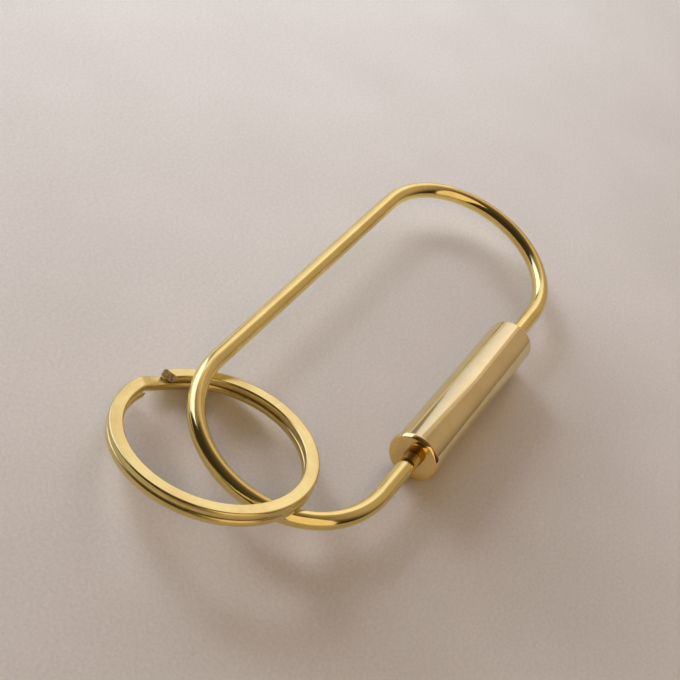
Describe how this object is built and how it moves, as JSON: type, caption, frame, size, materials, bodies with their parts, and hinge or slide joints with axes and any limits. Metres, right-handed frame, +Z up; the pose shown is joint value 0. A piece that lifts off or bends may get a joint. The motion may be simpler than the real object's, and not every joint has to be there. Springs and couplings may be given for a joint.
{
  "type": "screw-gate key loop",
  "caption": "Elongated loop of bent brass rod closed by a screw barrel, with a flat split ring threaded on one end bend.",
  "frame": {"origin": "middle of the bounding box, on the floor that the object lies on", "axes": "+X along the loop, away from the split ring; +Y across the loop, away from the barrel; +Z up from the floor"},
  "size_m": [0.0906, 0.0382, 0.0085],
  "materials": {
    "polished_brass": "polished, drawn rod with a machined right-hand thread on one end",
    "satin_brass": "fine satin, turned",
    "mirror_brass": "mirror polish on the face",
    "turned_brass": "as turned, hidden",
    "ring_brass": "tumbled flat strip with sheared ends"
  },
  "bodies": {
    "loop": {"loop_rod": "polished_brass", "stop_collar": "turned_brass"},
    "barrel_cap": {"end_cap": "mirror_brass"},
    "barrel": {"barrel_sleeve": "satin_brass"},
    "ring": {"split_ring": "ring_brass"}
  },
  "joints": [
    {"name": "barrel_travel", "type": "slide", "parent": "loop", "child": "barrel_cap", "axis": [1, 0, 0], "range_m": [-0.0012, 0.008]},
    {"name": "barrel_twist", "type": "hinge", "parent": "barrel_cap", "child": "barrel", "pos_m": [-0.01085, -0.01551, 0.00355], "axis": [1, 0, 0], "range_deg": [-960, 6400]},
    {"name": "ring_swing", "type": "hinge", "parent": "loop", "child": "ring", "pos_m": [-0.02148, 0.01304, 0.00128], "axis": [-0.6316, 0.7749, -0.0257], "range_deg": [0, 142]}
  ],
  "couplings": [
    {"joint": "barrel_twist", "follows": "barrel_travel", "rad_per_m": 13963}
  ]
}
